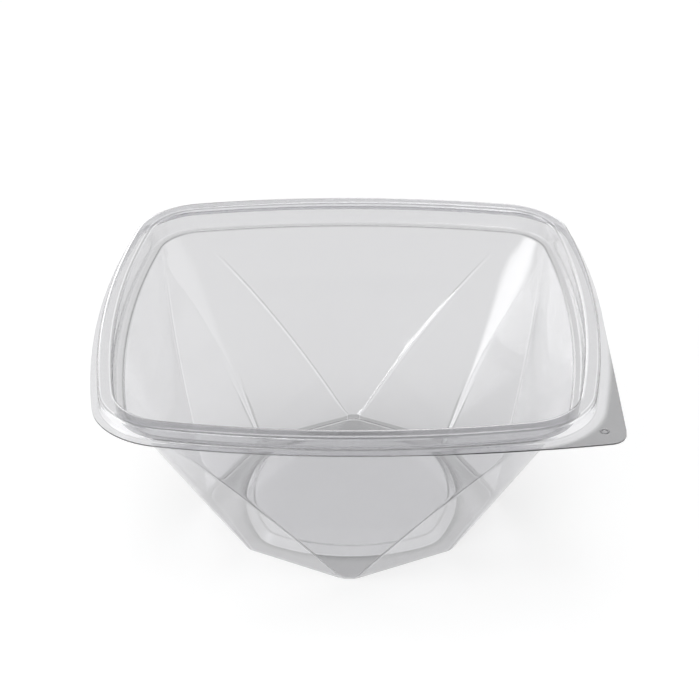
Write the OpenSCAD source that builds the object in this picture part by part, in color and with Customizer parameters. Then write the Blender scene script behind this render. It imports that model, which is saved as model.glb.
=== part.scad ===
// Clear square salad bowl, formed in one piece from thin plastic sheet.
// The origin is the middle of the standing ring, on the table, with +Z up.
// The grip tab is at the corner between +X and -Y.

/* [Rim] */
// Width across the raised bead, from the middle of one side to the other
rim_w = 180; // [150:1:220]
// Height of the bowl, from the table to the top of the bead
bowl_h = 84; // [60:1:110]
// Radius of the slight bow of each side
side_r = 360; // [260:5:600]
// Radius of the rim's corners, at the outside of the bead
corner_r = 27; // [20:1:40]
// Width of the raised bead
bead_w = 5.5; // [4.5:0.1:7]
// Radius of the bead's two shoulders
bead_r = 1.4; // [1:0.1:2]
// How far the bead's inner side slopes in on its way down to the ledge
bead_draft = 1; // [0.5:0.1:2]
// Width of the lid ledge, inside the bead
ledge_w = 2.6; // [2:0.1:5]
// Depth of the lid ledge below the top of the bead
ledge_drop = 8.3; // [5:0.1:12]

/* [Flange and tab] */
// How far the flat flange reaches outside the bead
flange_w = 2.5; // [1.8:0.1:5]
// Depth of the flange below the top of the bead
flange_drop = 5.8; // [4:0.1:9]
// How far the tab's straight edge runs outside the flange at its corner
tab_out = 0.8; // [0:0.1:4]
// How far the tab's corner lies back from the widest line of the flange's front
tab_back = 8.5; // [4:0.5:12]
// Radius of the tab's corner
tab_r = 6; // [3:0.5:10]

/* [Walls and base] */
// Thickness of the formed sheet
sheet_t = 0.45; // [0.3:0.05:0.8]
// Distance from the middle to the base corner under the middle of each side
base_mid = 56; // [53:0.2:58]
// Distance from the middle to the base corner under each rim corner
base_diag = 52.4; // [51.6:0.2:54.6]
// Width of each side panel where it meets the base
toe_w = 3; // [2:0.5:10]
// Radius of the bend between the walls and the base
foot_r = 3; // [2:0.5:6]
// Length of the soft bend each side of a corner's middle crease, at the base
corner_soft_low = 1.2; // [0.8:0.1:3]
// The same length near the top of the wall
corner_soft_high = 9; // [7:0.5:12]
// Length of the soft bend each side of a side panel's crease, at the base
panel_soft_low = 0.5; // [0.3:0.1:3]
// The same length near the top of the wall
panel_soft_high = 1.5; // [0.5:0.1:6]

/* [Raised floor] */
// Half the width of the raised floor panel
floor_half = 40; // [34:0.1:41.5]
// Radius of the bow of the raised panel's sides
floor_side_r = 62; // [55:1:80]
// Radius of the raised panel's corners
floor_corner_r = 12; // [8:0.5:16]
// How far the panel is raised above the standing ring
floor_rise = 3; // [1:0.1:5]
// Width of the sloping step round the panel
step_w = 2.8; // [1.5:0.1:5]

/* [Hidden] */

// Lines up the wall in each eighth of a turn: over the side panel, then over the corner facet
panel_lines = 5;
facet_lines = 6;
eighth = panel_lines + facet_lines;
lines = 8 * eighth;

rim_half = rim_w / 2;
ledge_h = bowl_h - ledge_drop - sheet_t;
flange_h = bowl_h - flange_drop;

// How far the wall's top edge lies inside the bead's outer side, on the underside of the sheet
wall_inset = bead_w + bead_draft + ledge_w - sheet_t;
wall_half = rim_half - wall_inset;

// Slope of a facet's level lines, across the side that they start from
facet_slope = base_mid * sqrt(2) / base_diag - 1;
facet_stretch = sqrt(1 + facet_slope * facet_slope);

// Shares of the wall's height: where the soft bends are longest, where those of the side panels begin
// to grow, and above which the folded outline comes to meet the rim's round corners
soft_to = 0.8;
panel_soft_from = 0.15;
melt_from = 0.88;

// Direction of the line on the raised floor that leads on to the crease of a side panel
floor_split = 12;

// Rounding of the lesser bends: of the step round the raised floor, and of the ledge and the skirt
step_round = 0.9;
step_ease = 0.22;
ledge_round = 0.8;
skirt_round = 1.3;

function mix(a, b, share) = a + (b - a) * share;
function ease(a, b, x) = let (s = min(max((x - a) / (b - a), 0), 1)) s * s * (3 - 2 * s);

// The smaller of two reaches, with the meeting line rounded off over a band
function soft_min(a, b, band) = let (h = max(band - abs(a - b), 0)) min(a, b) - h * h / (4 * band);

// A rounded square with bowed sides: where its corner arcs are centred, along X and along Y
function corner_place(half, side, corner) =
    let (back = side - half) (sqrt(2 * pow(side - corner, 2) - back * back) - back) / 2;

// Reach of its bowed side, and of its corner arc, in a direction 0 to 45 degrees off the side's middle
function side_reach(a, half, side) =
    let (back = side - half) sqrt(side * side - pow(back * sin(a), 2)) - back * cos(a);
function corner_reach(a, place, corner) =
    let (m = place * sqrt(2)) m * cos(45 - a) + sqrt(max(corner * corner - pow(m * sin(45 - a), 2), 0));

// The direction in which side and corner meet
function join_angle(half, side, place) =
    let (back = side - half, b = atan2(place, place + back)) atan2(side * sin(b), side * cos(b) - back);

function square_reach(a, half, side, corner, place) =
    a < join_angle(half, side, place) ? side_reach(a, half, side) : corner_reach(a, place, corner);

rim_place = corner_place(rim_half, side_r, corner_r);
floor_place = corner_place(floor_half, floor_side_r, floor_corner_r);

// The rim's outline moved in by a distance, and the direction in which its side meets its corner
function rim_reach(a, inset) =
    square_reach(a, rim_half - inset, side_r - inset, corner_r - inset, rim_place);
function rim_join(inset) = join_angle(rim_half - inset, side_r - inset, rim_place);
function floor_reach(a, inset) =
    square_reach(a, floor_half - inset, floor_side_r - inset, floor_corner_r - inset, floor_place);

// Half widths at a share of the wall's height: of the side panels, and of the facets on a side's axis.
// At the ledge each facet just touches the round of the rim's corner.
facet_top = rim_place * (1 + facet_slope) + (corner_r - wall_inset) * facet_stretch;
toe_half = base_mid - facet_slope * toe_w / 2;
function panel_half(t) = mix(toe_half, wall_half, t);
function facet_half(t) = mix(base_mid, facet_top, t);

// Turn between the two facets of a corner, and the bands over which the creases are soft
corner_turn = 90 - 2 * atan(facet_slope);
panel_turn = atan(facet_slope);
function corner_band(t) =
    2 * tan(corner_turn / 2) * mix(corner_soft_low, corner_soft_high, pow(min(t / soft_to, 1), 2));
function panel_band(t) =
    2 * tan(panel_turn / 2) * mix(panel_soft_low, panel_soft_high, ease(panel_soft_from, soft_to, t));

// Reach of the wall in a direction 0 to 45 degrees off a side's middle
function facets_reach(a, t) =
    let (near = facet_half(t) / (cos(a) + facet_slope * sin(a)))
    let (far = facet_half(t) / (sin(a) + facet_slope * cos(a)))
    soft_min(near, far, corner_band(t));
function folded_reach(a, t) =
    soft_min(side_reach(a, panel_half(t), side_r - wall_inset), facets_reach(a, t), panel_band(t));
function wall_reach(a, t) =
    let (melt = ease(melt_from, 1, t))
    folded_reach(a, t) + (melt > 0 ? melt * (rim_reach(a, wall_inset) - folded_reach(a, 1)) : 0);

// Direction of the crease between side panel and facet, which the lines up the wall follow
function crease_angle(t) =
    let (bow = side_r - wall_inset, gap = facet_half(t) - panel_half(t))
    let (y = bow * (facet_slope - sqrt(max(facet_slope * facet_slope - 2 * gap / bow, 0))))
    atan2(y, facet_half(t) - facet_slope * y);
function split_angle(t) = mix(crease_angle(t), rim_join(wall_inset), ease(melt_from, 1, t));

// Direction of one line, counted round the bowl, when panel and facet part at a given direction
function panel_share(k) = let (s = k / panel_lines) mix(s, sin(90 * s), 0.5);
function facet_share(k) = let (s = k / facet_lines) mix(s, (1 - cos(180 * s)) / 2, 0.5);
function eighth_angle(k, split) =
    k <= panel_lines ? split * panel_share(k) : mix(split, 45, facet_share(k - panel_lines));
function line_angle(i, split) =
    let (part = floor(i / eighth), k = i - part * eighth)
    part % 2 == 0 ? 45 * part + eighth_angle(k, split) : 45 * (part + 1) - eighth_angle(eighth - k, split);
function fold(a) = let (b = a % 90) b > 45 ? 90 - b : b;
function at(a, r, z) = [r * cos(a), r * sin(a), z];

// Level rings: of the raised floor, and of the rim
function floor_ring(inset, z) =
    [for (i = [0 : lines - 1]) let (a = line_angle(i, floor_split)) at(a, floor_reach(fold(a), inset), z)];
function rim_ring(inset, drop) =
    [for (i = [0 : lines - 1])
        let (a = line_angle(i, rim_join(inset))) at(a, rim_reach(fold(a), inset), bowl_h - drop)];

// The bend between base and wall, in the upright plane of one line: its start, turn and end
foot_split = split_angle(foot_r / ledge_h / 3);
function foot_line(i) =
    let (a = line_angle(i, foot_split), low = wall_reach(fold(a), 0))
    let (lean = (wall_reach(fold(a), foot_r / ledge_h) - low) / foot_r, turn = atan2(1, lean))
    [a, low - foot_r * tan(turn / 2), turn];
foot_lines = [for (i = [0 : lines - 1]) foot_line(i)];
function foot_ring(share) =
    [for (f = foot_lines)
        let (b = f[2] * share) at(f[0], f[1] + foot_r * sin(b), foot_r * (1 - cos(b)))];

// A ring of the wall, at a share of the way from the bend's end to the ledge
function wall_point(i, share) =
    let (z = mix(foot_r * (1 - cos(foot_lines[i][2])), ledge_h, share), t = z / ledge_h)
    let (a = line_angle(i, split_angle(t)))
    at(a, wall_reach(fold(a), t), z);
function wall_ring(share) = [for (i = [0 : lines - 1]) wall_point(i, share)];

// Outer edge of the flange, which fills out to the tab's corner in one quarter
flange_half = rim_half + flange_w;
tab_lean = tab_out / (flange_half - tab_back);
tab_side = (flange_half * flange_half + tab_back * tab_back) / (2 * tab_back);
tab_turn = 90 - atan(tab_lean) - asin(flange_half / tab_side);
function tab_reach(a) =
    let (edge = flange_half / (cos(a) - tab_lean * sin(a)))
    let (front = side_reach(90 - a, flange_half, tab_side))
    soft_min(edge, front, 2 * tab_r * pow(tan(tab_turn / 2), 2));
flange_ring = [for (i = [0 : lines - 1])
    let (a = line_angle(i, rim_join(-flange_w)))
    at(a, a > 270 ? tab_reach(360 - a) : rim_reach(fold(a), -flange_w), flange_h)];

// Section of the underside, from the floor's middle out to the flange, as rings
shoulder_r = bead_r - sheet_t;
floor_rings = [
    floor_ring(step_w + step_round, floor_rise),
    floor_ring(step_w * (1 - step_ease), floor_rise * (1 - ease(0, 1, step_ease))),
    floor_ring(step_w * step_ease, floor_rise * ease(0, 1, step_ease)),
    floor_ring(-step_round, 0)];
wall_shares = [0.12, 0.25, 0.38, 0.5, 0.6, 0.7, 0.78, 0.86, 0.93, 0.985];
ledge_rings = [
    rim_ring(wall_inset - ledge_round, ledge_drop + sheet_t),
    rim_ring(wall_inset - ledge_w + ledge_round, ledge_drop + sheet_t),
    rim_ring(wall_inset - ledge_w, ledge_drop + sheet_t - ledge_round)];
bead_rings = concat(
    [for (b = [0, 45, 90])
        rim_ring(bead_w - bead_r + shoulder_r * cos(b), bead_r - shoulder_r * sin(b))],
    [for (b = [90, 45, 0])
        rim_ring(bead_r - shoulder_r * cos(b), bead_r - shoulder_r * sin(b))]);
skirt_rings = [
    rim_ring(sheet_t - skirt_round / 2, flange_drop - skirt_round / 2),
    rim_ring(-skirt_round, flange_drop)];
foot_rings = [for (share = [0, 0.34, 0.67, 1]) foot_ring(share)];
wall_rings = [for (share = wall_shares) wall_ring(share)];
rings = concat(floor_rings, foot_rings, wall_rings, ledge_rings, bead_rings, skirt_rings, [flange_ring]);
last = len(rings) - 1;

// Direction of the sheet's thickness: upright on floor, bead top and flange, square to the sheet between
flat_to = len(floor_rings);
bead_from = last - len(skirt_rings) - len(bead_rings);
function is_flat(j) = j <= flat_to || j == bead_from + 2 || j == bead_from + 3 || j >= last - 1;
function next(i) = (i + 1) % lines;
function before(i) = (i + lines - 1) % lines;
function thick_way(j, i) =
    is_flat(j) ? [0, 0, 1] :
    let (along = rings[j][next(i)] - rings[j][before(i)], out = rings[j + 1][i] - rings[j - 1][i])
    let (n = cross(out, along)) n / norm(n);
upper_rings = [for (j = [0 : last])
    [for (i = [0 : lines - 1]) rings[j][i] + sheet_t * thick_way(j, i)]];

// Two triangles for one field of the net, split the same way on both sides of every mirror plane
function field(i, a, b, c, d) =
    floor(i / eighth) % 2 == 0 ? [[a, b, c], [a, c, d]] : [[b, c, d], [b, d, a]];

module bowl() {
    under = [for (ring = rings, p = ring) p];
    upper = [for (ring = upper_rings, p = ring) p];
    top = len(under);
    mid_under = 2 * top;
    mid_upper = mid_under + 1;
    middles = [[0, 0, floor_rise], [0, 0, floor_rise + sheet_t]];
    net = [for (j = [0 : last - 1], i = [0 : lines - 1])
        let (a = j * lines + i, b = j * lines + next(i))
        each concat(
            field(i, top + a, top + b, top + b + lines, top + a + lines),
            field(i, b, a, a + lines, b + lines))];
    fans = [for (i = [0 : lines - 1])
        each [[mid_upper, top + next(i), top + i], [mid_under, i, next(i)]]];
    edge = [for (i = [0 : lines - 1])
        let (a = last * lines + i, b = last * lines + next(i))
        each [[a, top + a, top + b], [a, top + b, b]]];
    color([0.86, 0.89, 0.9, 0.4])
        polyhedron(points = concat(under, upper, middles), faces = concat(net, fans, edge));
}

bowl();
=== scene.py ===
"""Looks of the clear square salad bowl: formed sheet, plastic, floor, light and camera."""

import math

import bpy
import numpy as np
from mathutils import Matrix, Vector

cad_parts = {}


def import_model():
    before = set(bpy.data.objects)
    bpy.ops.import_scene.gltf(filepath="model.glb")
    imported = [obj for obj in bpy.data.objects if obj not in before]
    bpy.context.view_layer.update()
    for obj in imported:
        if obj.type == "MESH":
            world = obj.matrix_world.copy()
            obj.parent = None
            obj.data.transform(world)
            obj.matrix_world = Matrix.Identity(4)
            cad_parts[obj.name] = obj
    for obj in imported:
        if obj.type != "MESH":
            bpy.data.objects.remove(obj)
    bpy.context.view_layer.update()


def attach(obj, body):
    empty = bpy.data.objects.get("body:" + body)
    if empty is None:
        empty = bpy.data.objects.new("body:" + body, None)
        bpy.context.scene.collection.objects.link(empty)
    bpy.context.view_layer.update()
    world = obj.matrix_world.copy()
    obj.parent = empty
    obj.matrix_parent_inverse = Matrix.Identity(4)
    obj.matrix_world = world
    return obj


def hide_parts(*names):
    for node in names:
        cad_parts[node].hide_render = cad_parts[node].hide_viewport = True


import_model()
scene = bpy.context.scene

# Sizes in millimetres, as in the part's source
RIM_HALF = 90.0
BOWL_H = 84.0
SIDE_R = 360.0
CORNER_R = 27.0
BEAD_W = 5.5
BEAD_R = 1.4
BEAD_DRAFT = 1.0
LEDGE_W = 2.6
LEDGE_DROP = 8.3
FLANGE_W = 2.5
FLANGE_DROP = 5.8
TAB_OUT = 0.8
TAB_BACK = 8.5
TAB_R = 6.0
SHEET = 0.45
BASE_MID = 56.0
BASE_DIAG = 52.4
TOE_W = 3.0
FOOT_R = 3.0
CORNER_SOFT = (1.2, 9.0)
PANEL_SOFT = (0.5, 1.5)
FLOOR_HALF = 40.0
FLOOR_SIDE_R = 62.0
FLOOR_CORNER_R = 12.0
FLOOR_RISE = 3.0
FLOOR_SPLIT = math.radians(12)
STEP_W = 2.8
SOFT_TO = 0.8
PANEL_SOFT_FROM = 0.15
MELT_FROM = 0.88

# Lesser bends: how far each is rounded off, and the rings that one takes
STEP_REACH = 2.0
STEP_ROUND = 0.7
LEDGE_ROUND = 0.9
SKIRT_ROUND = 1.2
BEND_STEPS = 6
BEND_RINGS = BEND_STEPS + 1
BEND_MIDDLE = BEND_STEPS // 2

# Rings of the floor, as shares of its reach, of the foot's bend, and of the wall, as shares of its height
FLOOR_INSET = 0.9
FLOOR_SHARES = (0.12, 0.3, 0.5, 0.7, 0.86)
RING_CUTS = 4
FOOT_STEPS = 12
WALL_SHARES = np.concatenate([np.linspace(0, 0.9, 33)[1:], [0.92, 0.94, 0.955]])
FLANGE_CUTS = 12

# Shares of light that the sheet passes, grey partly as the sheet's own and partly as painted shade: wall,
# front of the wall, lighter as painted light, standing ring, darker as painted contact shade, raised floor,
# and the darker tab
WALL_TINT = 0.74
LIT_FRONT_TINT = 0.88
SHADED_BASE_TINT = 0.54
FLOOR_TINT = 0.74
TAB_TINT = 0.46
# The same for wall, ledge, inner side, top and outer side of the bead, and the flange beside it, each band's
# share set as painted light and shade on the rim
LIT_AND_SHADED_BAND_TINTS = [WALL_TINT, 0.70, 0.70, 0.77, 0.92, 0.84]
# At the bends between those bands: how dark the fold's painted shade line is, and how pale the painted
# highlight line each side of it
BAND_PAINTED_LINES = [(0.8, 0.0), (0.0, 0.2), (0.3, 0.9), (0.3, 0.9), (0.35, 0.0)]
# How far along Y the wall goes from its front tint, lightened as painted light, to its own
FRONT_FADE = (-45, 0)
# How dark and how pale the two lines painted at a wall crease are, painted shade and painted highlight, at
# the back and at the front
CREASE_PAINTED_SHADE = (0.3, 1.0)
CREASE_PAINTED_LIGHT = (0.5, 1.0)
# How far painted shade darkens the tint at the most
DEEPEST_PAINTED_SHADE = 0.7

LEDGE_H = BOWL_H - LEDGE_DROP - SHEET
FLANGE_H = BOWL_H - FLANGE_DROP
WALL_INSET = BEAD_W + BEAD_DRAFT + LEDGE_W - SHEET
WALL_HALF = RIM_HALF - WALL_INSET
FACET_SLOPE = BASE_MID * math.sqrt(2) / BASE_DIAG - 1

PANEL_LINES = 20
FACET_LINES = 28
EIGHTH = PANEL_LINES + FACET_LINES
LINES = 8 * EIGHTH


def mix(a, b, share):
    return a + (b - a) * share


def ease(a, b, x):
    s = np.clip((x - a) / (b - a), 0, 1)
    return s * s * (3 - 2 * s)


def soft_min(a, b, band):
    h = np.maximum(band - np.abs(a - b), 0)
    return np.minimum(a, b) - h * h / (4 * band)


def corner_place(half, side, corner):
    back = side - half
    return (math.sqrt(2 * (side - corner) ** 2 - back * back) - back) / 2


def side_reach(a, half, side):
    back = side - half
    return np.sqrt(side * side - (back * np.sin(a)) ** 2) - back * np.cos(a)


def corner_reach(a, place, corner):
    m = place * math.sqrt(2)
    off = math.pi / 4 - a
    return m * np.cos(off) + np.sqrt(np.maximum(corner * corner - (m * np.sin(off)) ** 2, 0))


def join_angle(half, side, place):
    back = side - half
    b = math.atan2(place, place + back)
    return math.atan2(side * math.sin(b), side * math.cos(b) - back)


def square_reach(a, half, side, corner, place):
    """Reach of a rounded square with bowed sides, in a direction 0 to 45 degrees off a side's middle."""
    on_side = a < join_angle(half, side, place)
    return np.where(on_side, side_reach(a, half, side), corner_reach(a, place, corner))


RIM_PLACE = corner_place(RIM_HALF, SIDE_R, CORNER_R)
FLOOR_PLACE = corner_place(FLOOR_HALF, FLOOR_SIDE_R, FLOOR_CORNER_R)


def rim_reach(a, inset):
    return square_reach(a, RIM_HALF - inset, SIDE_R - inset, CORNER_R - inset, RIM_PLACE)


def floor_reach(a, inset):
    return square_reach(a, FLOOR_HALF - inset, FLOOR_SIDE_R - inset, FLOOR_CORNER_R - inset, FLOOR_PLACE)


FACET_TOP = RIM_PLACE * (1 + FACET_SLOPE) + (CORNER_R - WALL_INSET) * math.sqrt(1 + FACET_SLOPE**2)
TOE_HALF = BASE_MID - FACET_SLOPE * TOE_W / 2
CORNER_TURN = math.pi / 2 - 2 * math.atan(FACET_SLOPE)
PANEL_TURN = math.atan(FACET_SLOPE)


def folded_reach(a, t):
    """The least of a bowed side panel and two flat corner facets, at a share of the wall's height."""
    facet = mix(BASE_MID, FACET_TOP, t)
    near = facet / (np.cos(a) + FACET_SLOPE * np.sin(a))
    far = facet / (np.sin(a) + FACET_SLOPE * np.cos(a))
    corner_soft = mix(*CORNER_SOFT, np.minimum(t / SOFT_TO, 1) ** 2)
    panel_soft = mix(*PANEL_SOFT, ease(PANEL_SOFT_FROM, SOFT_TO, t))
    facets = soft_min(near, far, 2 * math.tan(CORNER_TURN / 2) * corner_soft)
    panel = side_reach(a, mix(TOE_HALF, WALL_HALF, t), SIDE_R - WALL_INSET)
    return soft_min(panel, facets, 2 * math.tan(PANEL_TURN / 2) * panel_soft)


def wall_reach(a, t):
    """Reach of the wall, whose outline comes to meet the rim's rounded corners at its top."""
    return folded_reach(a, t) + (rim_reach(a, WALL_INSET) - folded_reach(a, 1.0)) * ease(MELT_FROM, 1, t)


def split_angle(t):
    """Direction of the crease between side panel and facet, up to where it melts into the rim."""
    bow = SIDE_R - WALL_INSET
    t = np.minimum(t, MELT_FROM)
    facet = mix(BASE_MID, FACET_TOP, t)
    gap = facet - mix(TOE_HALF, WALL_HALF, t)
    y = bow * (FACET_SLOPE - np.sqrt(np.maximum(FACET_SLOPE**2 - 2 * gap / bow, 0)))
    return np.arctan2(y, facet - FACET_SLOPE * y)


# Distances of the lines that crowd beside a crease, and beside the middle of a corner
CREASE_LINES = np.array([0.0, 0.17, 0.34, 0.52, 0.72, 0.96, 1.3, 1.8, 2.6, 3.8])
CORNER_LINES = np.array([0.0, 0.25, 0.5, 0.8, 1.2, 1.7, 2.4, 3.4, 4.8, 6.6, 8.8])


def line_angles(split, reach):
    """Directions of all lines, when panel and facet part at split and the ring is at about this reach."""
    i = np.arange(LINES)
    part, k = i // EIGHTH, i % EIGHTH
    k = np.where(part % 2 == 0, k, EIGHTH - k)
    near, far = len(CREASE_LINES) - 1, len(CORNER_LINES) - 1
    squeeze = np.minimum(1, 0.6 * split * reach / CREASE_LINES[-1])
    from_crease = np.abs(k - PANEL_LINES)
    from_corner = EIGHTH - k
    beside = CREASE_LINES[np.minimum(from_crease, near)] * squeeze / reach
    panel_rest = np.clip((from_crease - near) / (PANEL_LINES - near), 0, 1)
    panel = split - mix(beside, split, panel_rest)
    corner = CORNER_LINES[np.minimum(from_corner, far)] / reach
    facet_rest = np.clip((from_crease - near) / (FACET_LINES - near - far), 0, 1)
    facet = mix(split + beside, math.pi / 4 - corner, facet_rest)
    a = np.where(k <= PANEL_LINES, panel, facet)
    turn = math.pi / 4
    return np.where(part % 2 == 0, part * turn + a, (part + 1) * turn - a)


def fold(a):
    b = np.mod(a, math.pi / 2)
    return np.where(b > math.pi / 4, math.pi / 2 - b, b)


def at(a, r, z):
    return np.stack([r * np.cos(a), r * np.sin(a), np.broadcast_to(z, a.shape)], axis=-1)


def rim_ring(inset, z):
    a = line_angles(split_angle(1.0), RIM_HALF)
    return at(a, rim_reach(fold(a), inset), z)


def floor_ring(inset, z, share=1.0):
    a = line_angles(FLOOR_SPLIT, FLOOR_HALF)
    return at(a, floor_reach(fold(a), inset) * share, z)


def unit(v):
    return v / np.linalg.norm(v, axis=-1, keepdims=True)


def between(a, b, count):
    """Rings that divide the way from one ring to another."""
    return [mix(a, b, s) for s in np.linspace(0, 1, count + 2)[1:-1]]


def rounded(keys, cuts, steps):
    """Rings along a chain of key rings whose inner corners are rounded off over a length."""
    out = [keys[0]]
    for before, key, after, cut in zip(keys, keys[1:], keys[2:], cuts):
        start = key + cut * unit(before - key)
        end = key + cut * unit(after - key)
        for s in np.linspace(0, 1, steps + 1):
            out.append((1 - s) ** 2 * start + 2 * s * (1 - s) * key + s * s * end)
    return out + [keys[-1]]


# Raised floor, with the step round it
rings = [floor_ring(STEP_W + FLOOR_INSET, FLOOR_RISE, s) for s in FLOOR_SHARES]
step = [
    floor_ring(STEP_W + STEP_REACH, FLOOR_RISE),
    floor_ring(STEP_W, FLOOR_RISE),
    floor_ring(0, 0.0),
    floor_ring(-STEP_REACH, 0.0),
]
STEP_TOP = len(rings) + 1 + BEND_MIDDLE
STEP_LOW = STEP_TOP + BEND_RINGS
rings += rounded(step, [STEP_ROUND, STEP_ROUND], BEND_STEPS)

# Bend between base and wall, in the upright plane of each line
foot_a = line_angles(split_angle(FOOT_R / LEDGE_H / 3), BASE_MID)
foot_low = wall_reach(fold(foot_a), 0.0)
foot_lean = (wall_reach(fold(foot_a), FOOT_R / LEDGE_H) - foot_low) / FOOT_R
foot_turn = np.arctan2(1, foot_lean)
foot_start = foot_low - FOOT_R * np.tan(foot_turn / 2)
first_foot = at(foot_a, foot_start, 0.0)
rings += between(rings[-1], first_foot, RING_CUTS)
FOOT_RING = len(rings)
for s in np.linspace(0, 1, FOOT_STEPS + 1):
    b = foot_turn * s
    rings.append(at(foot_a, foot_start + FOOT_R * np.sin(b), FOOT_R * (1 - np.cos(b))))

# Wall
WALL_RING = len(rings)
foot_top = FOOT_R * (1 - np.cos(foot_turn))
for s in WALL_SHARES:
    z = mix(foot_top, LEDGE_H, s)
    a = line_angles(split_angle(z / LEDGE_H), mix(BASE_MID, RIM_HALF, z / LEDGE_H))
    rings.append(at(a, wall_reach(fold(a), z / LEDGE_H), z))

# Ledge, bead and flange: the corners of the underside's section, each rounded off
flange_a = line_angles(split_angle(1.0), RIM_HALF)
flange_half = RIM_HALF + FLANGE_W
tab_lean = TAB_OUT / (flange_half - TAB_BACK)
tab_side = (flange_half**2 + TAB_BACK**2) / (2 * TAB_BACK)
tab_turn = math.pi / 2 - math.atan(tab_lean) - math.asin(flange_half / tab_side)
flange_reach = rim_reach(fold(flange_a), -FLANGE_W)
off = 2 * math.pi - flange_a
in_tab = off < math.pi / 2
off = np.where(in_tab, off, 0.0)
tab_edge = flange_half / (np.cos(off) - tab_lean * np.sin(off))
tab_front = side_reach(math.pi / 2 - off, flange_half, tab_side)
tab_reach = soft_min(tab_edge, tab_front, 2 * TAB_R * math.tan(tab_turn / 2) ** 2)
flange_ring = at(flange_a, np.where(in_tab, tab_reach, flange_reach), FLANGE_H)
bead_top = BOWL_H - SHEET
section = [
    rings[-1],
    rim_ring(WALL_INSET, LEDGE_H),
    rim_ring(WALL_INSET - LEDGE_W, LEDGE_H),
    rim_ring(BEAD_W - SHEET, bead_top),
    rim_ring(SHEET, bead_top),
    rim_ring(SHEET, FLANGE_H),
    flange_ring,
]
RIM_RING = len(rings)
shoulder_r = BEAD_R - SHEET
chain = rounded(section, [LEDGE_ROUND, LEDGE_ROUND, shoulder_r, shoulder_r, SKIRT_ROUND], BEND_STEPS)
rings += chain[1:-1]
FLANGE_RING = len(rings)
rings += between(rings[-1], flange_ring, FLANGE_CUTS) + [flange_ring]
under = np.array(rings)

# Upper surface: the sheet's thickness out from the underside
along = np.roll(under, -1, axis=1) - np.roll(under, 1, axis=1)
out = np.gradient(under, axis=0)
normal = unit(np.cross(out, along))

# On the wall, whose lines run aslant, directions along and up the surface come from its formula
wall = under[WALL_RING:RIM_RING]
wall_a = np.arctan2(wall[..., 1], wall[..., 0])
wall_r = np.hypot(wall[..., 0], wall[..., 1])
wall_t = wall[..., 2] / LEDGE_H
STEP_A, STEP_T = 1e-4, 1e-3
by_a = (wall_reach(fold(wall_a + STEP_A), wall_t) - wall_reach(fold(wall_a - STEP_A), wall_t)) / (2 * STEP_A)
above = wall_reach(fold(wall_a), wall_t + STEP_T)
below = wall_reach(fold(wall_a), wall_t - STEP_T)
by_z = (above - below) / (2 * STEP_T * LEDGE_H)
cos_a, sin_a = np.cos(wall_a), np.sin(wall_a)
turn_a = np.stack([by_a * cos_a - wall_r * sin_a, by_a * sin_a + wall_r * cos_a, 0 * by_a], -1)
rise = np.stack([by_z * cos_a, by_z * sin_a, 1 + 0 * by_z], -1)
normal[WALL_RING:RIM_RING] = unit(np.cross(rise, turn_a))
upper = under + SHEET * normal

# Tint of the sheet with its painted shade and light, region by region: 1 lets all light pass
ring_no = np.arange(len(under))[:, None] + np.zeros((1, LINES))
height = under[..., 2] / LEDGE_H
front = 1 - ease(*FRONT_FADE, under[..., 1])
tint = mix(WALL_TINT, LIT_FRONT_TINT, front)
tint = np.where(ring_no < FOOT_RING + FOOT_STEPS - 1, SHADED_BASE_TINT, tint)
tint = np.where(ring_no < STEP_LOW - 2, FLOOR_TINT, tint)
for n, (before, after) in enumerate(zip(LIT_AND_SHADED_BAND_TINTS, LIT_AND_SHADED_BAND_TINTS[1:])):
    bend = RIM_RING + BEND_RINGS * n
    if n > 0:
        tint[bend : bend + BEND_MIDDLE + 1] = before
    tint[bend + BEND_MIDDLE + 1 : bend + BEND_RINGS] = after
past_bead = np.hypot(under[..., 0], under[..., 1]) - rim_reach(fold(flange_a), 0)
tab_tint = mix(LIT_AND_SHADED_BAND_TINTS[-1], TAB_TINT, ease(FLANGE_W, 2 * FLANGE_W, past_bead))
tint = np.where(ring_no >= FLANGE_RING, tab_tint, tint)


def bell(x, middle, width):
    return np.exp(-(((x - middle) / width) ** 2))


# Painted shade and light at folds: a dark line with a pale one beside it, at the creases, and low down where
# a corner's soft bend begins. Distances are in millimetres, from the crease and from the corner's middle.
k = np.arange(LINES) % (2 * EIGHTH)
k = np.where(k > EIGHTH, 2 * EIGHTH - k, k)
side = np.sign(k - PANEL_LINES)
past = np.clip(np.abs(k - PANEL_LINES), 0, len(CREASE_LINES) - 1)
from_crease = side * CREASE_LINES[past]
FAR_OFF = 99
beside_corner = CORNER_LINES[np.clip(EIGHTH - k, 0, len(CORNER_LINES) - 1)]
from_corner = np.where(EIGHTH - k < len(CORNER_LINES), beside_corner, FAR_OFF)
on_wall = (ring_no >= FOOT_RING + 3) & (ring_no < RIM_RING)
fade = on_wall * (1 - ease(0.7, 0.92, height))
painted_shade = mix(*CREASE_PAINTED_SHADE, front) * bell(from_crease, 0.0, 0.3) * fade
painted_light = mix(*CREASE_PAINTED_LIGHT, front) * bell(from_crease, 0.85, 0.36) * fade
corner_soft = mix(*CORNER_SOFT, np.minimum(height / SOFT_TO, 1) ** 2)
fade = on_wall * (1 - ease(0.12, 0.34, height))
painted_shade += 0.5 * bell(from_corner, corner_soft, 0.3) * fade
painted_light += 0.6 * bell(from_corner, np.maximum(corner_soft - 0.8, 0), 0.3) * fade

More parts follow.
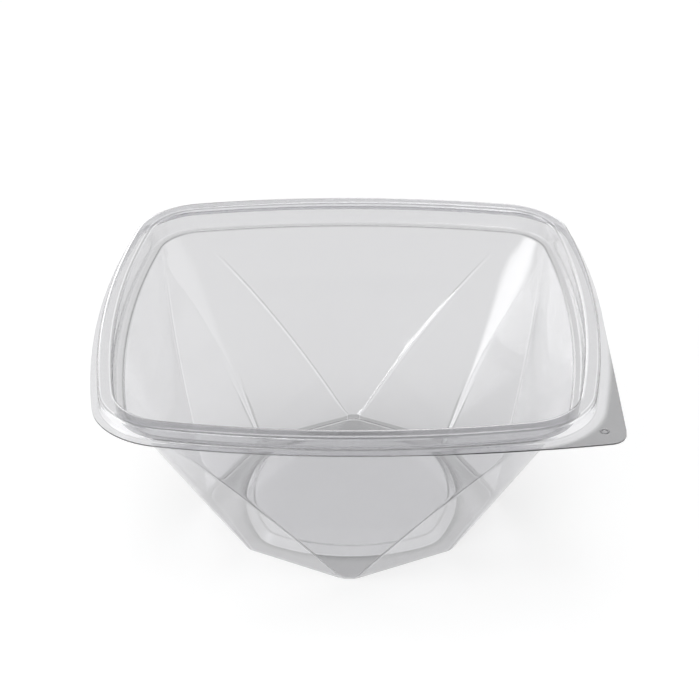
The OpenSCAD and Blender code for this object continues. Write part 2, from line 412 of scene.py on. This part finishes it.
# The step, the foot and the rim's bends get the same painted shade and light lines, along whole rings
PAINTED_SHADE_RINGS = {STEP_TOP - 1: 0.4, STEP_TOP: 0.8, STEP_TOP + 1: 0.4}
PAINTED_SHADE_RINGS.update({STEP_LOW + 2: 0.5, STEP_LOW + 3: 0.7, STEP_LOW + 4: 0.3})
PAINTED_SHADE_RINGS.update({FOOT_RING + 3: 0.7, FOOT_RING + 4: 0.8})
PAINTED_LIGHT_RINGS = {STEP_LOW - 2: 0.3, STEP_LOW - 1: 0.7, STEP_LOW: 0.7, STEP_LOW + 1: 0.2}
PAINTED_LIGHT_RINGS.update({FOOT_RING + 1: 0.7, FOOT_RING + 2: 0.5})
for n, (share, beside) in enumerate(BAND_PAINTED_LINES):
    middle = RIM_RING + BEND_RINGS * n + BEND_MIDDLE
    PAINTED_SHADE_RINGS.update({middle - 1: 0.3 * share, middle: share, middle + 1: 0.3 * share})
    PAINTED_LIGHT_RINGS.update({middle - 2: beside, middle + 2: beside})
for n, share in PAINTED_SHADE_RINGS.items():
    painted_shade[n] += share
for n, share in PAINTED_LIGHT_RINGS.items():
    painted_light[n] += share
# Painted shade darkens the tint; painted light brings it towards clear
tint = tint * (1 - DEEPEST_PAINTED_SHADE * np.clip(painted_shade, 0, 1))
tint = mix(tint, 1.0, np.clip(painted_light, 0, 1))


def bowl_mesh():
    """One closed shell: underside, upper side, the cut edge of the flange and the two middles."""
    n_rings = len(under)
    count = n_rings * LINES
    middles = [[0, 0, FLOOR_RISE], [0, 0, FLOOR_RISE + SHEET]]
    points = np.concatenate([under.reshape(-1, 3), upper.reshape(-1, 3), middles])
    j, i = np.meshgrid(np.arange(n_rings - 1), np.arange(LINES), indexing="ij")
    a = (j * LINES + i).ravel()
    b = (j * LINES + (i + 1) % LINES).ravel()
    c, d = b + LINES, a + LINES
    faces = [np.stack([a, b, c, d], 1), np.stack([b, a, d, c], 1) + count]
    last = (n_rings - 1) * LINES
    e, f = last + np.arange(LINES), last + (np.arange(LINES) + 1) % LINES
    faces.append(np.stack([e, f, f + count, e + count], 1))
    faces = np.concatenate(faces).tolist()
    for k in range(LINES):
        n = (k + 1) % LINES
        faces.append([2 * count, n, k])
        faces.append([2 * count + 1, count + k, count + n])
    mesh = bpy.data.meshes.new("clear_bowl")
    mesh.from_pydata((points * 0.001).tolist(), [], faces)
    mesh.validate()
    mesh.update()
    mesh.shade_smooth()
    # The tint, with its painted shade and light, is kept on the points
    tints = np.concatenate([tint.ravel(), tint.ravel(), [FLOOR_TINT, FLOOR_TINT]])
    mesh.attributes.new("tint_and_painted_light", "FLOAT", "POINT").data.foreach_set("value", tints)
    rim = np.stack([e, f], 1)
    rim_edges = {tuple(sorted(p)) for p in np.concatenate([rim, rim + count]).tolist()}
    sharp = mesh.attributes.new("sharp_edge", "BOOLEAN", "EDGE")
    sharp.data.foreach_set("value", [tuple(sorted(g.vertices)) in rim_edges for g in mesh.edges])
    return bpy.data.objects.new("clear_bowl", mesh)


def clear_plastic():
    """Clear formed sheet: faintly grey, glossy, with slow waves from forming and fine handling haze; its
    colour carries painted shade and light.
    """
    mat = bpy.data.materials.new("clear_plastic")
    mat.use_nodes = True
    nodes, links = mat.node_tree.nodes, mat.node_tree.links
    nodes.clear()
    output = nodes.new("ShaderNodeOutputMaterial")
    sheet = nodes.new("ShaderNodeBsdfPrincipled")
    sheet.inputs["Transmission Weight"].default_value = 1.0
    sheet.inputs["IOR"].default_value = 1.57
    place = nodes.new("ShaderNodeTexCoord")
    haze = nodes.new("ShaderNodeTexNoise")
    haze.inputs["Scale"].default_value = 60.0
    haze.inputs["Detail"].default_value = 6.0
    haze_range = nodes.new("ShaderNodeMapRange")
    haze_range.inputs["From Min"].default_value = 0.35
    haze_range.inputs["From Max"].default_value = 0.75
    haze_range.inputs["To Min"].default_value = 0.02
    haze_range.inputs["To Max"].default_value = 0.06
    waves = nodes.new("ShaderNodeTexNoise")
    waves.inputs["Scale"].default_value = 28.0
    waves.inputs["Detail"].default_value = 2.0
    bump = nodes.new("ShaderNodeBump")
    bump.inputs["Strength"].default_value = 0.04
    bump.inputs["Distance"].default_value = 0.0008
    # Base colour from the mesh's tint, which holds painted shade and painted highlight lines
    tint_and_painted_light = nodes.new("ShaderNodeAttribute")
    tint_and_painted_light.attribute_name = "tint_and_painted_light"
    shade = nodes.new("ShaderNodeMix")
    shade.data_type = "RGBA"
    shade.inputs["A"].default_value = (0, 0, 0, 1)
    shade.inputs["B"].default_value = (0.985, 0.985, 1, 1)
    links.new(tint_and_painted_light.outputs["Fac"], shade.inputs["Factor"])
    links.new(shade.outputs["Result"], sheet.inputs["Base Color"])
    links.new(place.outputs["Object"], haze.inputs["Vector"])
    links.new(place.outputs["Object"], waves.inputs["Vector"])
    links.new(haze.outputs["Fac"], haze_range.inputs["Value"])
    links.new(haze_range.outputs["Result"], sheet.inputs["Roughness"])
    links.new(waves.outputs["Fac"], bump.inputs["Height"])
    links.new(bump.outputs["Normal"], sheet.inputs["Normal"])
    # Lamps and the floor's own light pass the sheet, dimmed most where they meet it at a low angle
    passing = nodes.new("ShaderNodeBsdfTransparent")
    slant = nodes.new("ShaderNodeLayerWeight")
    slant.inputs["Blend"].default_value = 0.5
    dimming = nodes.new("ShaderNodeValToRGB")
    dimming.color_ramp.elements[0].position = 0.3
    dimming.color_ramp.elements[0].color = (0.92, 0.92, 0.925, 1)
    dimming.color_ramp.elements[1].position = 0.95
    dimming.color_ramp.elements[1].color = (0.3, 0.3, 0.3, 1)
    links.new(slant.outputs["Facing"], dimming.inputs["Fac"])
    links.new(dimming.outputs["Color"], passing.inputs["Color"])
    path = nodes.new("ShaderNodeLightPath")
    lamp_ray = nodes.new("ShaderNodeMath")
    lamp_ray.operation = "MAXIMUM"
    pick = nodes.new("ShaderNodeMixShader")
    links.new(path.outputs["Is Shadow Ray"], lamp_ray.inputs[0])
    links.new(path.outputs["Is Diffuse Ray"], lamp_ray.inputs[1])
    links.new(lamp_ray.outputs["Value"], pick.inputs["Fac"])
    links.new(sheet.outputs["BSDF"], pick.inputs[1])
    links.new(passing.outputs["BSDF"], pick.inputs[2])
    links.new(pick.outputs["Shader"], output.inputs["Surface"])
    return mat


# Mark on the tab: its place, its radius, the radius and the height of its bead, and its tint, much lighter
# than the tab's as a painted glint
MARK_AT = (85.9, -77.3)
MARK_R = 1.25
MARK_ROUND = 0.4
MARK_HEIGHT = MARK_ROUND * 0.8
MARK_GLINT_TINT = 0.9


def grip_mark():
    """Small raised ring formed into the tab near its corner."""
    mesh = bpy.data.meshes.new("grip_mark")
    around, across = 40, 12
    points, faces = [], []
    for i in range(around):
        a = 2 * math.pi * i / around
        for j in range(across):
            b = 2 * math.pi * j / across
            r = MARK_R + MARK_ROUND * math.cos(b)
            z = FLANGE_H + SHEET + MARK_HEIGHT * math.sin(b)
            points.append((MARK_AT[0] + r * math.cos(a), MARK_AT[1] + r * math.sin(a), z))
            n = (i + 1) % around * across
            m = (j + 1) % across
            faces.append((i * across + j, n + j, n + m, i * across + m))
    mesh.from_pydata([tuple(0.001 * v for v in p) for p in points], [], faces)
    mesh.update()
    mesh.shade_smooth()
    # The mark's light tint is a painted glint
    tints = mesh.attributes.new("tint_and_painted_light", "FLOAT", "POINT")
    tints.data.foreach_set("value", [MARK_GLINT_TINT] * len(points))
    return bpy.data.objects.new("grip_mark", mesh)


plastic = clear_plastic()
bowl = bowl_mesh()
mark = grip_mark()
for piece in (bowl, mark):
    scene.collection.objects.link(piece)
    piece.data.materials.append(plastic)
    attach(piece, "root")
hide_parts("bowl")


# Colour of the floor, and the light of its own that brings it to white where no shadow falls
FLOOR_COLOUR = (0.62, 0.62, 0.62, 1)
FLOOR_GLOW = 0.56


def floor_material():
    """Floor that is white to the eye and in what the plastic mirrors or lets through."""
    mat = bpy.data.materials.new("pale_floor")
    mat.use_nodes = True
    nodes, links = mat.node_tree.nodes, mat.node_tree.links
    nodes.clear()
    output = nodes.new("ShaderNodeOutputMaterial")
    matt = nodes.new("ShaderNodeBsdfDiffuse")
    matt.inputs["Color"].default_value = FLOOR_COLOUR
    glow = nodes.new("ShaderNodeEmission")
    path = nodes.new("ShaderNodeLightPath")
    seen = nodes.new("ShaderNodeMath")
    seen.operation = "MAXIMUM"
    seen_too = nodes.new("ShaderNodeMath")
    seen_too.operation = "MAXIMUM"
    level = nodes.new("ShaderNodeMath")
    level.operation = "MULTIPLY"
    level.inputs[1].default_value = FLOOR_GLOW
    both = nodes.new("ShaderNodeAddShader")
    links.new(path.outputs["Is Camera Ray"], seen.inputs[0])
    links.new(path.outputs["Is Glossy Ray"], seen.inputs[1])
    links.new(seen.outputs["Value"], seen_too.inputs[0])
    links.new(path.outputs["Is Transmission Ray"], seen_too.inputs[1])
    links.new(seen_too.outputs["Value"], level.inputs[0])
    links.new(level.outputs["Value"], glow.inputs["Strength"])
    links.new(matt.outputs["BSDF"], both.inputs[0])
    links.new(glow.outputs["Emission"], both.inputs[1])
    links.new(both.outputs["Shader"], output.inputs["Surface"])
    return mat


def floor():
    mesh = bpy.data.meshes.new("floor")
    half = 6.0
    corners = [(-half, -half, 0), (half, -half, 0), (half, half, 0), (-half, half, 0)]
    mesh.from_pydata(corners, [], [(0, 1, 2, 3)])
    obj = bpy.data.objects.new("floor", mesh)
    obj.location.z = -0.0002
    mesh.materials.append(floor_material())
    scene.collection.objects.link(obj)
    return obj


floor()


def world():
    """Room light: white at the horizon and even above it, with soft round patches of light."""
    w = bpy.data.worlds.new("room")
    scene.world = w
    w.use_nodes = True
    nodes, links = w.node_tree.nodes, w.node_tree.links
    nodes.clear()
    output = nodes.new("ShaderNodeOutputWorld")
    back = nodes.new("ShaderNodeBackground")
    place = nodes.new("ShaderNodeTexCoord")

    def glow(direction, inner, outer, strength):
        """Soft round patch of light, full within one angle in degrees and gone at the other."""
        dot = nodes.new("ShaderNodeVectorMath")
        dot.operation = "DOT_PRODUCT"
        dot.inputs[1].default_value = Vector(direction).normalized()
        patch = nodes.new("ShaderNodeMapRange")
        patch.interpolation_type = "SMOOTHSTEP"
        patch.inputs["From Min"].default_value = math.cos(math.radians(outer))
        patch.inputs["From Max"].default_value = math.cos(math.radians(inner))
        patch.inputs["To Max"].default_value = strength
        links.new(place.outputs["Generated"], dot.inputs[0])
        links.new(dot.outputs["Value"], patch.inputs["Value"])
        return patch.outputs["Result"]

    split = nodes.new("ShaderNodeSeparateXYZ")
    low = nodes.new("ShaderNodeMapRange")
    low.interpolation_type = "SMOOTHSTEP"
    low.inputs["From Min"].default_value = 0.0
    low.inputs["From Max"].default_value = 0.12
    low.inputs["To Min"].default_value = 1.0
    low.inputs["To Max"].default_value = ROOM_LEVEL
    links.new(place.outputs["Generated"], split.inputs["Vector"])
    links.new(split.outputs["Z"], low.inputs["Value"])
    total = low.outputs["Result"]
    for patch in SOFT_LIGHTS:
        add = nodes.new("ShaderNodeMath")
        links.new(total, add.inputs[0])
        links.new(glow(*patch), add.inputs[1])
        total = add.outputs["Value"]
    links.new(total, back.inputs["Strength"])
    links.new(back.outputs["Background"], output.inputs["Surface"])


# Level of the room, and its soft lights: direction, angles within which each is full and gone, and strength.
# They are overhead, a window on the left, a faint one on the right, and two low at the back.
ROOM_LEVEL = 0.5
SOFT_LIGHTS = [
    ((0.0, 0.25, 0.97), 6, 20, 3.5),
    ((-0.93, -0.08, 0.34), 8, 26, 4.0),
    ((0.94, 0.10, 0.28), 8, 30, 0.8),
    ((-0.36, 0.90, 0.24), 4, 15, 3.0),
    ((0.1, 0.97, 0.2), 4, 13, 2.0),
]
world()


def lamp(name, direction, long_way, size, level, middle):
    """Soft panel lamp, its long side lying along long_way; level is its brightness."""
    data = bpy.data.lights.new(name, "AREA")
    data.shape = "RECTANGLE"
    data.size, data.size_y = size
    data.energy = level * math.pi * size[0] * size[1]
    z = Vector(direction).normalized()
    x = Vector(long_way)
    x = (x - x.dot(z) * z).normalized()
    obj = bpy.data.objects.new(name, data)
    turn = Matrix((x, z.cross(x), z)).transposed().to_4x4()
    obj.matrix_world = Matrix.Translation(z * LAMP_FAR + Vector(middle)) @ turn
    obj.visible_camera = False
    scene.collection.objects.link(obj)
    return obj


def toward(azimuth, elevation):
    a, e = math.radians(azimuth), math.radians(elevation)
    return Vector((math.cos(a) * math.cos(e), math.sin(a) * math.cos(e), math.sin(e)))


# Distance of the lamp from the place it faces, in metres
LAMP_FAR = 0.5
# The lamp that makes the bright streak on the right rear crease: the place it faces, its direction from
# there in degrees, its long way, its size in metres and its brightness
STREAK_AT = (0.025, 0.0655, 0.032)
STREAK_FROM = (246.9, 15.4)
STREAK_WAY = (0.66, -0.53, -0.53)
STREAK_SIZE = (0.32, 0.07)
STREAK_LEVEL = 5
lamp("streak_panel", toward(*STREAK_FROM), STREAK_WAY, STREAK_SIZE, STREAK_LEVEL, STREAK_AT)

# The photograph's view: place in metres, pitch, yaw and roll in degrees, focal length and width in pixels
CAMERA_AT = (0.013103, -0.634565, 0.434502)
CAMERA_TURNS = (30.229, -1.192, -0.467)
FOCAL = 1984.34
PHOTO_WIDTH = 700
SENSOR = 36


def camera():
    """Camera of the photograph's view, with a level line of sight turned by pitch, yaw and roll."""
    pitch, yaw, roll = (math.radians(v) for v in CAMERA_TURNS)
    ahead = Vector((math.sin(yaw) * math.cos(pitch), math.cos(yaw) * math.cos(pitch), -math.sin(pitch)))
    right = Vector((math.cos(yaw), -math.sin(yaw), 0))
    up = right.cross(ahead)
    right_2 = right * math.cos(roll) + up * math.sin(roll)
    up_2 = up * math.cos(roll) - right * math.sin(roll)
    data = bpy.data.cameras.new("photo_view")
    data.sensor_width = SENSOR
    data.lens = FOCAL * SENSOR / PHOTO_WIDTH
    data.clip_start = 0.01
    obj = bpy.data.objects.new("photo_view", data)
    turn = Matrix((right_2, up_2, -ahead)).transposed().to_4x4()
    obj.matrix_world = Matrix.Translation(CAMERA_AT) @ turn
    scene.collection.objects.link(obj)
    scene.camera = obj


camera()
scene.view_settings.view_transform = "Standard"
